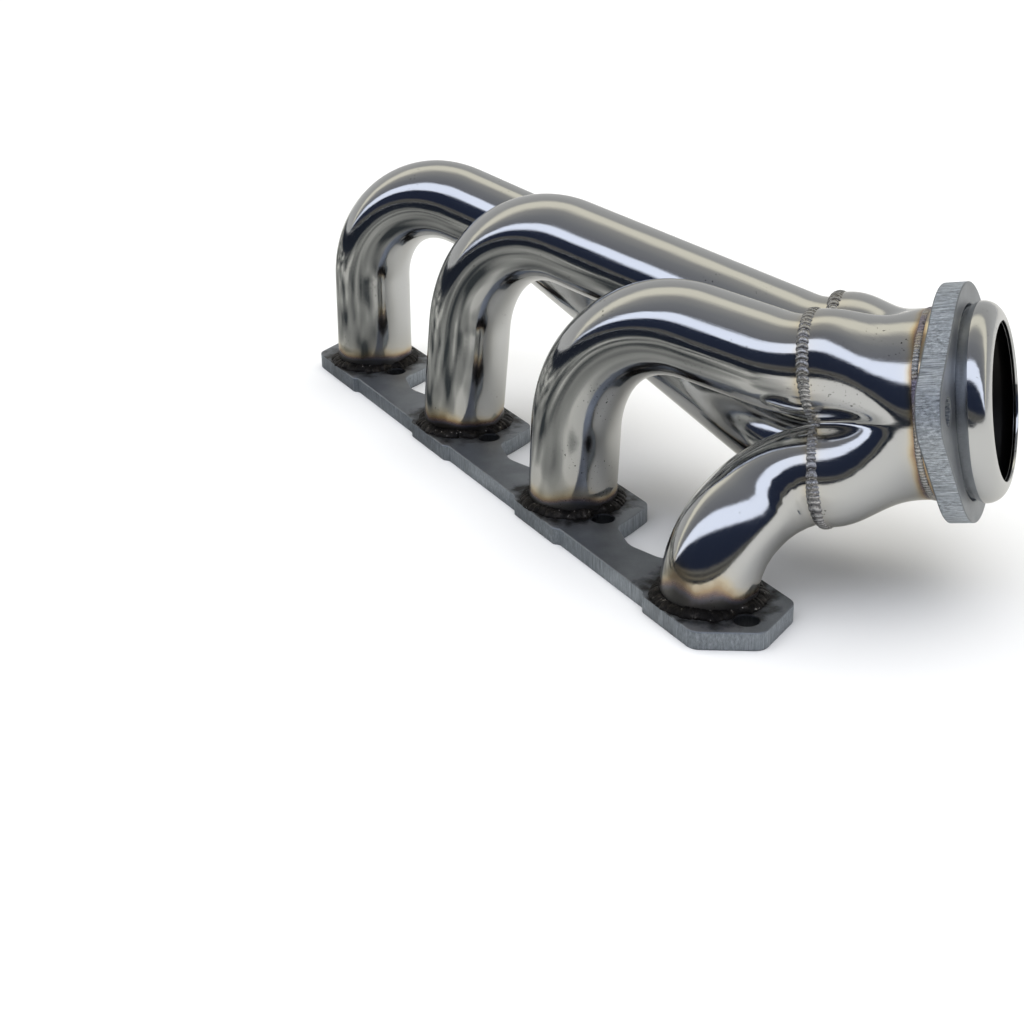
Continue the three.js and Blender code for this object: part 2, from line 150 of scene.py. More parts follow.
# ---- mesh building -------------------------------------------------------------------------------
def link(obj, body="manifold"):
    bpy.context.scene.collection.objects.link(obj)
    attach(obj, body)
    return obj


def mesh_from_rings(name, rings, attributes, vectors=None, smooth_angle=40.0):
    """Quads between successive rings, and from the last ring back to the first, as one closed skin."""
    rings = np.asarray(rings, float)
    count, size = rings.shape[:2]
    i, j = np.meshgrid(np.arange(count), np.arange(size), indexing="ij")
    next_i, next_j = (i + 1) % count, (j + 1) % size
    quads = np.stack([i * size + j, i * size + next_j, next_i * size + next_j, next_i * size + j], -1)
    quads = quads.reshape(-1, 4)
    points = rings.reshape(-1, 3)
    corners = points[quads]
    normal = np.cross(corners[:, 2] - corners[:, 0], corners[:, 3] - corners[:, 1])
    if (normal * corners.mean(1)).sum() < 0:
        quads = quads[:, ::-1]
    mesh = bpy.data.meshes.new(name)
    mesh.from_pydata((points * MM).tolist(), [], quads.tolist())
    for key, values in attributes.items():
        layer = mesh.attributes.new(key, "FLOAT", "POINT")
        layer.data.foreach_set("value", np.asarray(values, np.float32).ravel())
    for key, values in (vectors or {}).items():
        layer = mesh.attributes.new(key, "FLOAT_VECTOR", "POINT")
        layer.data.foreach_set("vector", np.asarray(values, np.float32).reshape(-1))
    mesh.polygons.foreach_set("use_smooth", [True] * len(mesh.polygons))
    mesh.set_sharp_from_angle(angle=math.radians(smooth_angle))
    mesh.update()
    return bpy.data.objects.new(name, mesh)


def wobble(phase, seed, count=7, start=1):
    """A smooth closed curve, about -1 to 1: count waves, of which the longest repeats start times."""
    generator = np.random.default_rng(seed)
    total = np.zeros_like(phase, dtype=float)
    for harmonic in range(start, start + count):
        total += generator.normal() * np.cos(harmonic * phase + generator.uniform(0, 2 * math.pi))
    return total / math.sqrt(count)


# ---- tube routes ---------------------------------------------------------------------------------
def bent_path(corners, radii):
    """Straight legs joined by circular bends, as (points, tangents, bend directions) a few mm apart."""
    points, tangents, bends = [], [], []

    def straight(a, b):
        steps = max(1, round(np.linalg.norm(b - a) / STATION_SPACING))
        for k in range(steps):
            points.append(a + (b - a) * k / steps)
            tangents.append(unit(b - a))
            bends.append(np.zeros(3))

    here = corners[0]
    for i in range(1, len(corners) - 1):
        incoming = unit(corners[i] - corners[i - 1])
        outgoing = unit(corners[i + 1] - corners[i])
        turn = math.acos(np.clip(incoming @ outgoing, -1, 1))
        radius = radii[i - 1]
        start = corners[i] - incoming * radius * math.tan(turn / 2)
        turn_axis = unit(np.cross(incoming, outgoing))
        to_centre = np.cross(turn_axis, incoming)
        centre = start + to_centre * radius
        if np.linalg.norm(start - here) > SHORTEST_LEG:
            straight(here, start)
        steps = max(2, round(turn * radius / STATION_SPACING))
        for k in range(steps):
            angle = turn * k / steps
            points.append(centre + turned(start - centre, turn_axis, angle))
            tangents.append(turned(incoming, turn_axis, angle))
            bends.append(turned(to_centre, turn_axis, angle) * math.sin(math.pi * k / steps) ** 0.5)
        here = corners[i] + outgoing * radius * math.tan(turn / 2)
    end = corners[-1]
    if np.linalg.norm(end - here) > SHORTEST_LEG:
        straight(here, end)
    points.append(end)
    tangents.append(unit(corners[-1] - corners[-2]))
    bends.append(np.zeros(3))
    return np.array(points), np.array(tangents), np.array(bends)


def runner_path(index):
    corners, radii = ROUTES[index]
    side, up = (sign * HALF_PITCH for sign in SLOTS[index])
    slot = along_outlet(0.0, side, up)
    foot = port_point(index, 0, 0, TUBE_RECESS)
    if index == 3:
        return bent_path([foot, *corners, slot], radii)
    leg_top = port_point(index, 0, 0, LEG_HEIGHT)
    entry = along_outlet(-END_LENGTHS[index], side, up)
    return bent_path([foot, leg_top, *corners, entry, slot], [LEG_BLEND_RADIUS, *radii, END_BEND_RADIUS])


FOOT_HEAT_REACH = 7.2
END_HEAT_REACH = 5.0
BEND_FLATTENING = 0.012
WRINKLE_DEPTH = [0.0, 0.0, 0.05, 0.28]
WRINKLE_LENGTH = 5.2
WELD_HEAT = 0.36


def runner(index):
    """One bent tube: slightly flattened bends, wrinkles inside the tightest one, heat marks at both ends."""
    points, tangents, bends = runner_path(index)
    count = len(points)
    travelled = np.concatenate([[0], np.cumsum(np.linalg.norm(np.diff(points, axis=0), axis=1))])
    angles = np.linspace(0, 2 * math.pi, TUBE_SEGMENTS, endpoint=False)
    normal = np.array([0.0, -1.0, 0.0])
    outer, inner, heat, lay = [], [], [], []
    for i in range(count):
        tangent = tangents[i]
        normal = unit(normal - (normal @ tangent) * tangent)
        binormal = np.cross(tangent, normal)
        spokes = np.cos(angles)[:, None] * normal + np.sin(angles)[:, None] * binormal
        towards_centre = spokes @ bends[i]
        strength = np.linalg.norm(bends[i])
        flattened = BEND_FLATTENING * strength * (1 - 2 * towards_centre**2)
        inside = np.clip(towards_centre, 0, 1) ** 3
        wave = math.sin(2 * math.pi * travelled[i] / WRINKLE_LENGTH)
        wrinkle = WRINKLE_DEPTH[index] * inside * strength * wave
        radius = TUBE_RADIUS * (1 + np.minimum(flattened, 0)) + wrinkle
        ring = points[i] + radius[:, None] * spokes
        bore = points[i] + (radius - TUBE_WALL)[:, None] * spokes
        past = (ring - COLLECTOR_ORIGIN) @ OUTLET_AXIS
        bore_past = (bore - COLLECTOR_ORIGIN) @ OUTLET_AXIS
        if travelled[-1] - travelled[i] < TUBE_RADIUS:
            slope = tangent @ OUTLET_AXIS
            last = i == count - 1
            ring -= (past if last else np.maximum(past, 0))[:, None] * tangent / slope
            bore -= (bore_past if last else np.maximum(bore_past, 0))[:, None] * tangent / slope
        outer.append(ring)
        inner.append(bore)
        from_foot = max(travelled[i] - FLANGE_THICKNESS, 0)
        to_end = -((ring - COLLECTOR_ORIGIN) @ OUTLET_AXIS)
        close = wobble(angles, 40 + index)
        foot_heat = np.exp(-(from_foot / (FOOT_HEAT_REACH * (1 + 0.22 * close))) ** 1.5)
        end_heat = WELD_HEAT * np.exp(-np.clip(to_end, 0, None) / END_HEAT_REACH)
        heat.append(np.maximum(foot_heat, end_heat))
        lay.append(round_lay(travelled[i], TUBE_RADIUS, angles))
    rings = outer + inner[::-1]
    bore_mark = [np.zeros(TUBE_SEGMENTS)] * count + [np.ones(TUBE_SEGMENTS)] * count
    obj = mesh_from_rings(
        f"runner_tube_{index + 1}",
        rings,
        attributes={"burn": heat + heat[::-1], "bore": bore_mark},
        vectors={"lay": lay + lay[::-1]},
    )
    return link(obj)


# ---- collector and outlet ------------------------------------------------------------------------
def lobed_radius(angle, lobe_radius, valley):
    """Distance from the outlet axis to an outline with a lobe round each tube and shallow valleys between."""
    reach = HALF_PITCH * math.sqrt(2)
    quarter = math.pi / 2
    from_lobe = np.abs(np.mod(angle, quarter) - quarter / 2)
    inside = lobe_radius**2 - (reach * np.sin(from_lobe)) ** 2
    lobe = np.where(inside > 0, reach * np.cos(from_lobe) + np.sqrt(np.maximum(inside, 0)), 0)
    flat = valley / np.cos(quarter / 2 - from_lobe)
    return (lobe**LOBE_BLEND + flat**LOBE_BLEND) ** (1 / LOBE_BLEND)


def outlet_ring(distance, radius, angles):
    """Points round the outlet axis; distance and radius are numbers or one value for each angle."""
    spokes = np.cos(angles)[:, None] * CLUSTER_SIDE + np.sin(angles)[:, None] * CLUSTER_UP
    distance = np.broadcast_to(distance, angles.shape)
    radius = np.broadcast_to(radius, angles.shape)
    return COLLECTOR_ORIGIN + distance[:, None] * OUTLET_AXIS + radius[:, None] * spokes


def round_lay(distance, radius, angles):
    """Texture coordinates in mm of a ring on a tube: across it in X and Y, along it in Z."""
    return np.stack([radius * np.cos(angles), radius * np.sin(angles), np.full(len(angles), distance)], -1)


def smootherstep(x, low, high):
    """0 below low, 1 above high, with no kink in slope or curvature between."""
    t = np.clip((x - low) / (high - low), 0, 1)
    return t**3 * (t * (6 * t - 15) + 10)


COLLECTOR_SEGMENTS = 240
COLLECTOR_STATIONS = 34
COLLECTOR_HEAT_REACH = 4.5
NECK_HEAT = 0.62
NECK_HEAT_WIDTH = 3.4


def seam_heat(distance, angles):
    """Colour left by the seam between collector and neck: strongest on the seam, fading both ways."""
    width = NECK_HEAT_WIDTH * (1 + 0.25 * wobble(angles, 61))
    return NECK_HEAT * np.exp(-(((distance - COLLECTOR_LENGTH) / width) ** 2))


def collector():
    """The shell, outside then inside: four lobes at the tubes that blend to the round neck."""
    angles = np.linspace(0, 2 * math.pi, COLLECTOR_SEGMENTS, endpoint=False)
    angles = angles + 0.5 * math.pi / COLLECTOR_SEGMENTS
    rings, heat, lay, bore = [], [], [], []
    for inset in (0.0, COLLECTOR_WALL):
        part = []
        for fraction in np.linspace(0, 1, COLLECTOR_STATIONS):
            distance = COLLECTOR_START + fraction * (COLLECTOR_LENGTH - COLLECTOR_START)
            lobes = lobed_radius(angles, LOBE_RADIUS - inset, VALLEY_DEPTH - inset)
            blend = smootherstep(fraction, 0.02, 1.0)
            radius = lobes * (1 - blend) + (NECK_RADIUS - inset) * blend
            weld_heat = WELD_HEAT * np.exp(-distance / COLLECTOR_HEAT_REACH) * np.ones_like(angles)
            part.append((
                outlet_ring(distance, radius, angles),
                np.maximum(weld_heat, seam_heat(distance, angles)),
                round_lay(distance, radius, angles),
                np.full(len(angles), 1.0 if inset else 0.0),
            ))
        if inset:
            part.reverse()
        for ring, warm, where, dark in part:
            rings.append(ring)
            heat.append(warm)
            lay.append(where)
            bore.append(dark)
    obj = mesh_from_rings("collector_shell", rings, {"burn": heat, "bore": bore}, {"lay": lay})
    return link(obj)


def outlet_neck():
    """Neck and ball flare turned from one profile, with a small rounded lip at the mouth."""
    angles = np.linspace(0, 2 * math.pi, NECK_SEGMENTS, endpoint=False)
    outside = [(d, NECK_RADIUS) for d in np.linspace(NECK_START, BALL_START, 16)]
    swell = (BALL_RADIUS - NECK_RADIUS) / 2
    for k in range(1, 8):
        angle = math.pi * k / 8
        distance = BALL_START + (BALL_CENTRE - BALL_START) * k / 8
        outside.append((distance, NECK_RADIUS + swell * (1 - math.cos(angle))))
    quarter = [math.pi / 2 * (1 - k / 20) for k in range(21)]
    for angle in quarter:
        reach = (BALL_END - BALL_CENTRE) * math.cos(angle)
        height = BALL_MOUTH_RADIUS + (BALL_RADIUS - BALL_MOUTH_RADIUS) * math.sin(angle)
        outside.append((BALL_CENTRE + reach, height))
    lip = NECK_WALL / 2
    lip_centre = BALL_END - lip
    lip_radius = BALL_MOUTH_RADIUS + MOUTH_LIP_OUTWARD
    rolled = [
        (lip_centre + lip * math.cos(a), lip_radius - lip * math.sin(a) * MOUTH_LIP_DEPTH)
        for a in np.linspace(0.3, math.pi - 0.3, 6)
    ]
    inside = []
    for angle in reversed(quarter):
        reach = (BALL_END - NECK_WALL - BALL_CENTRE) * math.cos(angle)
        height = BALL_MOUTH_RADIUS + (BALL_RADIUS - NECK_WALL - BALL_MOUTH_RADIUS) * math.sin(angle)
        inside.append((BALL_CENTRE + reach, height))
    inside += [(d, NECK_RADIUS - NECK_WALL) for d in np.linspace(BALL_START, NECK_START, 10)]
    profile = outside + rolled + inside
    dark_from = len(outside) + len(rolled)
    rings = [outlet_ring(d, r, angles) for d, r in profile]
    heat = [seam_heat(d, angles) for d, _ in profile]
    bore = [np.full(len(angles), 0.0 if k < dark_from else 1.0) for k in range(len(profile))]
    lay = [round_lay(d, r, angles) for d, r in profile]
    obj = mesh_from_rings("ball_outlet", rings, {"burn": heat, "bore": bore}, {"lay": lay}, smooth_angle=50)
    return link(obj)


# ---- weld beads ----------------------------------------------------------------------------------
BEAD_PITCH = 2.5
BEAD_HALF_WIDTH = 2.6
BEAD_HEIGHT = 1.7
BEAD_SECTION = 22
BEAD_TRACK_STEPS = 1440
BEAD_STEPS_PER_RIPPLE = 7
BEAD_SINK = 0.9
BEAD_FORWARD = 0.6
BEAD_DRIFT = 0.5
BEAD_GIRTH_SPREAD = 0.09
BEAD_UNEVENNESS = 1.6
BEAD_CRESCENT = 0.32


def collector_weld():
    """A rope of overlapping weld ripples that follows the four-lobed joint."""
    coarse = np.linspace(0, 2 * math.pi, BEAD_TRACK_STEPS, endpoint=False)
    track = outlet_ring(0.0, lobed_radius(coarse, LOBE_RADIUS, VALLEY_DEPTH), coarse)
    step = np.linalg.norm(np.roll(track, -1, 0) - track, axis=1)
    walked = np.concatenate([[0], np.cumsum(step)])
    length = walked[-1]
    samples = np.arange(0, length, BEAD_PITCH / BEAD_STEPS_PER_RIPPLE)
    angles = np.interp(samples, walked, np.append(coarse, 2 * math.pi))
    ripples = round(length / BEAD_PITCH)
    around = 2 * math.pi * samples / length
    drift = BEAD_DRIFT * wobble(around, 5, 9, 3)
    girth = 1 + BEAD_GIRTH_SPREAD * wobble(around, 6, 9, 9)
    phase = ripples * around + BEAD_UNEVENNESS * wobble(around, 7, 12, 12)
    rings, ripple = [], []
    for k in range(BEAD_SECTION):
        turn = 2 * math.pi * k / BEAD_SECTION
        crescent = np.mod(phase / (2 * math.pi) + BEAD_CRESCENT * abs(math.cos(turn)), 1.0)
        ridge = 0.86 + 0.2 * np.sin(math.pi * crescent**0.6) * girth
        distance = BEAD_FORWARD + drift + BEAD_HALF_WIDTH * girth * ridge * math.cos(turn)
        rise = 0.2 + BEAD_HEIGHT * girth * ridge * math.sin(turn)
        radius = lobed_radius(angles, LOBE_RADIUS - BEAD_SINK, VALLEY_DEPTH - BEAD_SINK) + rise
        rings.append(outlet_ring(distance, radius, angles))
        ripple.append(np.clip(crescent, 0, 1))
    obj = mesh_from_rings("collector_bead", rings, {"ripple": ripple}, smooth_angle=60)
    return link(obj)


FOOT_BEAD_SEGMENTS = 300
FOOT_BEAD_SECTION = 16
FOOT_BEAD_REACH = 4.3
FOOT_BEAD_HEIGHT = 3.2
FOOT_BEAD_REACH_LIMITS = (0.8, 5.4)
FOOT_BEAD_TOP = 4.7
FOOT_BEAD_SWELL = 0.28
FOOT_BEAD_INTO_PLATE = 0.1
FOOT_BEAD_INTO_TUBE = 0.15
FOOT_PUDDLES = 34
FOOT_BEAD_ROOT_RADIUS = TUBE_RADIUS - 0.4
FOOT_HOLE_CLEARANCE = 0.3
NO_LIMIT = 99.0


def foot_weld(index):
    """A burnt fillet around a tube's foot, in uneven puddles, nipped in beside the bolt holes."""
    angles = np.linspace(0, 2 * math.pi, FOOT_BEAD_SEGMENTS, endpoint=False)
    puddles = FOOT_PUDDLES + index
    crescent = np.mod(puddles * angles / (2 * math.pi) + 0.5 * wobble(angles, 11 + index, 9, 4), 1.0)
    puddle = np.sin(math.pi * crescent**0.7)
    uneven = wobble(angles, 21 + index, 10, 5)
    reach = FOOT_BEAD_REACH * (0.9 + 0.1 * uneven + 0.12 * puddle)
    height = FOOT_BEAD_HEIGHT * (0.88 + 0.12 * wobble(angles, 31 + index, 10, 4) + 0.1 * puddle)
    clear = BOLT_HOLE_RADIUS + FOOT_HOLE_CLEARANCE
    off_line = BOLT_OFFSET * np.abs(np.sin(angles))
    beside_hole = BOLT_OFFSET * np.abs(np.cos(angles)) - np.sqrt(np.maximum(clear**2 - off_line**2, 0))
    limit = np.where(off_line < clear, beside_hole - TUBE_RADIUS, NO_LIMIT)
    reach = np.clip(np.minimum(reach, limit), *FOOT_BEAD_REACH_LIMITS)
    rings, ripple = [], []
    centre = port_point(index, 0, 0, FLANGE_THICKNESS - FOOT_BEAD_INTO_PLATE)
    for k in range(FOOT_BEAD_SECTION):
        share = k / (FOOT_BEAD_SECTION - 1)
        swell = 1 + FOOT_BEAD_SWELL * math.sin(math.pi * share)
        out = reach * (1 - share) * swell
        rise = height * share * swell * np.clip(0.35 + reach / FOOT_BEAD_REACH, 0, 1)
        radius = TUBE_RADIUS - FOOT_BEAD_INTO_TUBE + np.minimum(out, limit)
        rise = np.minimum(rise, FOOT_BEAD_TOP)
        rings.append(centre + np.stack([radius * np.cos(angles), radius * np.sin(angles), rise], -1))
        ripple.append(crescent)
    rings.append(centre + round_lay(0.0, FOOT_BEAD_ROOT_RADIUS, angles))
    ripple.append(crescent)
    obj = mesh_from_rings(f"foot_bead_{index + 1}", rings, {"ripple": ripple}, smooth_angle=60)
    return link(obj)


NECK_BEAD_SEGMENTS = 720
NECK_BEAD_SECTION = 12
NECK_BEAD_HALF_WIDTH = 1.5
NECK_BEAD_HEIGHT = 0.75
NECK_BEAD_SINK = 0.35
NECK_BEAD_RIPPLES = 150


def neck_weld():
    """The fine, nearly flat seam between collector and neck."""
    angles = np.linspace(0, 2 * math.pi, NECK_BEAD_SEGMENTS, endpoint=False)
    crescent = np.mod(NECK_BEAD_RIPPLES * angles / (2 * math.pi) + 0.4 * wobble(angles, 71, 9, 5), 1.0)
    ridge = 0.82 + 0.18 * np.sin(math.pi * crescent**0.6)
    rings = []
    middle = (COLLECTOR_LENGTH + NECK_START) / 2
    for k in range(NECK_BEAD_SECTION):
        turn = 2 * math.pi * k / NECK_BEAD_SECTION
        distance = middle + NECK_BEAD_HALF_WIDTH * math.cos(turn) + 0.25 * wobble(angles, 72, 8, 3)
        radius = NECK_RADIUS - NECK_BEAD_SINK + NECK_BEAD_HEIGHT * ridge * math.sin(turn)
        rings.append(outlet_ring(distance, radius, angles))
    ripple = [crescent] * NECK_BEAD_SECTION
    obj = mesh_from_rings("neck_seam", rings, {"ripple": ripple}, smooth_angle=60)
    return link(obj)


# ---- flat plates ---------------------------------------------------------------------------------
def rounded_outline(corners, radius):
    """The corner list with each corner replaced by a short quadratic curve."""
    corners = [np.asarray(c, float) for c in corners]
    outline = []
    for i, corner in enumerate(corners):
        before, after = corners[i - 1], corners[(i + 1) % len(corners)]
        reach = min(radius, np.linalg.norm(corner - before) / 2.2, np.linalg.norm(corner - after) / 2.2)
        start = corner + unit(before - corner) * reach
        end = corner + unit(after - corner) * reach
        for t in np.linspace(0, 1, PLATE_CORNER_STEPS):
            outline.append((1 - t) ** 2 * start + 2 * t * (1 - t) * corner + t**2 * end)
    return np.array(outline)


def arc(x, y, radius, start, end, count=48, endpoint=True):
    a = np.linspace(start, end, count, endpoint=endpoint)
    return np.stack([x + radius * np.cos(a), y + radius * np.sin(a)], -1)


def circle(x, y, radius, count=72):
    return arc(x, y, radius, 0, 2 * math.pi, count, endpoint=False)


def plate(name, loops, thickness, placement, body):
    """A flat plate with slightly rounded edges; the first loop is the outline, the rest are holes."""
    curve = bpy.data.curves.new(name, "CURVE")
    curve.dimensions = "2D"
    curve.fill_mode = "BOTH"
    curve.extrude = thickness / 2 - PLATE_EDGE_ROUND
    curve.bevel_depth = PLATE_EDGE_ROUND
    curve.bevel_resolution = 2
    curve.offset = -PLATE_EDGE_ROUND
    for loop in loops:
        spline = curve.splines.new("POLY")
        spline.points.add(len(loop) - 1)
        flat = np.concatenate([loop, np.zeros((len(loop), 1)), np.ones((len(loop), 1))], 1)
        spline.points.foreach_set("co", flat.ravel())
        spline.use_cyclic_u = True
    holder = bpy.data.objects.new(name + "_outline", curve)
    bpy.context.scene.collection.objects.link(holder)
    bpy.context.view_layer.update()
    mesh = bpy.data.meshes.new_from_object(holder.evaluated_get(bpy.context.evaluated_depsgraph_get()))
    bpy.data.objects.remove(holder)
    mesh.name = name
    co = np.zeros(len(mesh.vertices) * 3, np.float32)
    mesh.vertices.foreach_get("co", co)
    co = co.reshape(-1, 3) + np.array([0, 0, thickness / 2], np.float32)
    layer = mesh.attributes.new("lay", "FLOAT_VECTOR", "POINT")
    layer.data.foreach_set("vector", co.ravel())
    placed = np.array([list(placement @ Vector(p.tolist())) for p in co]) * MM
    mesh.vertices.foreach_set("co", placed.astype(np.float32).ravel())
    mesh.polygons.foreach_set("use_smooth", [True] * len(mesh.polygons))
    mesh.set_sharp_from_angle(angle=math.radians(35))
    mesh.update()
    return link(bpy.data.objects.new(name, mesh), body)


def head_flange():
    """Four port pads joined by narrow strips; the outline runs along the front and back along the rear."""

    def at(index, x, y):
        return [PORT_X[index] + x, PORT_LINE_Y + y]

    strip_y = STRIP_INSET - PLATE_HALF_WIDTH
    outline = []
    for i in range(4):
        if i == 0:
            outline += [at(i, -PLATE_APEX, 0), at(i, -PLATE_SHOULDER, -PLATE_HALF_WIDTH)]
        else:
            outline += [at(i, -PLATE_INNER_SHOULDER - STRIP_INSET, strip_y)]
            outline += [at(i, -PLATE_INNER_SHOULDER, -PLATE_HALF_WIDTH)]
        outline.append(at(i, PLATE_SHOULDER, -PLATE_HALF_WIDTH))
        if i < 3:
            outline.append(at(i, PLATE_SHOULDER + STRIP_INSET, strip_y))
    outline.append(at(3, PLATE_APEX, 0))
    for i in (3, 2, 1, 0):
        outline += [at(i, PLATE_SHOULDER, PLATE_REAR_WIDTH), at(i, -PLATE_SHOULDER, PLATE_REAR_WIDTH)]
        if i > 0:
            outline += [
                at(i, -STRIP_END_X, STRIP_END_Y),
                at(i, -STRIP_END_X - STRIP_BEND_RUN, STRIP_BEND_Y),
                at(i, -PORT_SPACING / 2, STRIP_MIDDLE_Y),
                at(i - 1, STRIP_END_X + STRIP_BEND_RUN, STRIP_BEND_Y),
                at(i - 1, STRIP_END_X, STRIP_END_Y),
            ]
    loops = [rounded_outline(outline, PLATE_CORNER_RADIUS)]
    for x in PORT_X:
        loops.append(circle(x, PORT_LINE_Y, TUBE_RADIUS + PORT_CLEARANCE, 120))
        loops += [circle(x + s * BOLT_OFFSET, PORT_LINE_Y, BOLT_HOLE_RADIUS) for s in (-1, 1)]
    return plate("head_plate", loops, FLANGE_THICKNESS, Matrix.Identity(4), "manifold")


def outlet_flange():
    """A round middle with an ear on each side, drawn flat and then laid square to the outlet axis."""
    flank = math.acos((OUTLET_HALF_HEIGHT - OUTLET_EAR_RADIUS) / OUTLET_BOLT_OFFSET)
    outline = np.concatenate([
        arc(OUTLET_BOLT_OFFSET, 0, OUTLET_EAR_RADIUS, -flank, flank),
        arc(0, 0, OUTLET_HALF_HEIGHT, flank, math.pi - flank),
        arc(-OUTLET_BOLT_OFFSET, 0, OUTLET_EAR_RADIUS, math.pi - flank, math.pi + flank),
        arc(0, 0, OUTLET_HALF_HEIGHT, math.pi + flank, 2 * math.pi - flank),
    ])
    loops = [outline, circle(0, 0, OUTLET_BORE_RADIUS, 160)]
    loops += [circle(s * OUTLET_BOLT_OFFSET, 0, OUTLET_BOLT_RADIUS) for s in (-1, 1)]
    origin = COLLECTOR_ORIGIN + OUTLET_FLANGE_BACK * OUTLET_AXIS
    bolt_line = turned(-LEVEL_SIDE, OUTLET_AXIS, -OUTLET_FLANGE_TURN)
    cross_line = turned(LEVEL_UP, OUTLET_AXIS, -OUTLET_FLANGE_TURN)
    placement = Matrix([
        [bolt_line[k], cross_line[k], OUTLET_AXIS[k], origin[k]] for k in range(3)
    ] + [[0, 0, 0, 1]])
    return plate("swivel_plate", loops, OUTLET_FLANGE_THICKNESS, placement, "swivel_flange")


# ---- material helpers ----------------------------------------------------------------------------
def fill_ramp(ramp, stops):
    """Sets a colour ramp's stops; each new one is made at its own position, because the ramp sorts them."""
    first, last = ramp.elements[0], ramp.elements[1]
    first.position, first.color = stops[0][0], (*stops[0][1], 1.0)
    last.position, last.color = stops[-1][0], (*stops[-1][1], 1.0)
    for place, colour in stops[1:-1]:
        ramp.elements.new(place).color = (*colour, 1.0)


class Nodes:
    """A thin layer over a node tree, which it empties first."""

    def __init__(self, tree):
        self.tree = tree
        self.tree.nodes.clear()

    def add(self, kind, **settings):
        node = self.tree.nodes.new(kind)
        for key, value in settings.items():
            setattr(node, key, value)
        return node

    def join(self, source, target):
        self.tree.links.new(source, target)

    def feed(self, socket, value):
        if isinstance(value, bpy.types.NodeSocket):
            self.join(value, socket)
        else:
            socket.default_value = value

    def maths(self, operation, a, b=0.0, clamp=False):
        node = self.add("ShaderNodeMath", operation=operation, use_clamp=clamp)
        self.feed(node.inputs[0], a)
        self.feed(node.inputs[1], b)
        return node.outputs[0]

    def distance(self, a, b):
        squares = self.maths("ADD", self.maths("MULTIPLY", a, a), self.maths("MULTIPLY", b, b))
        return self.maths("SQRT", squares)

    def attribute(self, name, output="Fac"):
        return self.add("ShaderNodeAttribute", attribute_name=name).outputs[output]

    def place(self, output="Object"):
        return self.add("ShaderNodeTexCoord").outputs[output]

    def parts(self, vector):
        node = self.add("ShaderNodeSeparateXYZ")
        self.join(vector, node.inputs[0])
        return node.outputs["X"], node.outputs["Y"], node.outputs["Z"]

    def stretched(self, vector, scale):
        node = self.add("ShaderNodeMapping")
        self.join(vector, node.inputs["Vector"])
        node.inputs["Scale"].default_value = scale
        return node.outputs["Vector"]

    def noise(self, vector, scale, detail=3.0, roughness=0.5):
        node = self.add("ShaderNodeTexNoise")
        self.join(vector, node.inputs["Vector"])
        node.inputs["Scale"].default_value = scale
        node.inputs["Detail"].default_value = detail
        node.inputs["Roughness"].default_value = roughness
        return node.outputs["Fac"]

    def span(self, value, low, high, to_low=0.0, to_high=1.0):
        node = self.add("ShaderNodeMapRange", clamp=True)
        self.join(value, node.inputs["Value"])
        for key, number in (("From Min", low), ("From Max", high), ("To Min", to_low), ("To Max", to_high)):
            node.inputs[key].default_value = number
        return node.outputs["Result"]

    def ramp(self, value, stops):
        node = self.add("ShaderNodeValToRGB")
        self.join(value, node.inputs["Fac"])
        fill_ramp(node.color_ramp, stops)
        return node.outputs["Color"]

    def mix_colours(self, factor, a, b):
        node = self.add("ShaderNodeMix", data_type="RGBA")
        self.feed(node.inputs[0], factor)
        for socket, value in ((node.inputs[6], a), (node.inputs[7], b)):
            self.feed(socket, value if isinstance(value, bpy.types.NodeSocket) else (*value, 1.0))
        return node.outputs[2]

    def bump(self, height, distance, strength=1.0, normal=None):
        node = self.add("ShaderNodeBump")
        node.inputs["Strength"].default_value = strength
        node.inputs["Distance"].default_value = distance
        self.join(height, node.inputs["Height"])
        if normal is not None:
            self.join(normal, node.inputs["Normal"])
        return node.outputs["Normal"]


class Graph(Nodes):
    """The nodes of one new material, with a Principled shader."""

    def __init__(self, name):
        self.material = bpy.data.materials.new(name)
        self.material.use_nodes = True
        super().__init__(self.material.node_tree)
        self.shader = self.add("ShaderNodeBsdfPrincipled")
        output = self.add("ShaderNodeOutputMaterial")
        self.join(self.shader.outputs["BSDF"], output.inputs["Surface"])


HEAT_COLOURS = [
    (0.0, (0.66, 0.67, 0.68)),
    (0.16, (0.70, 0.69, 0.66)),
    (0.34, (0.71, 0.62, 0.46)),
    (0.48, (0.50, 0.36, 0.21)),
    (0.58, (0.27, 0.18, 0.15)),
    (0.68, (0.12, 0.11, 0.14)),
    (0.80, (0.045, 0.04, 0.038)),
    (1.0, (0.02, 0.018, 0.016)),
]


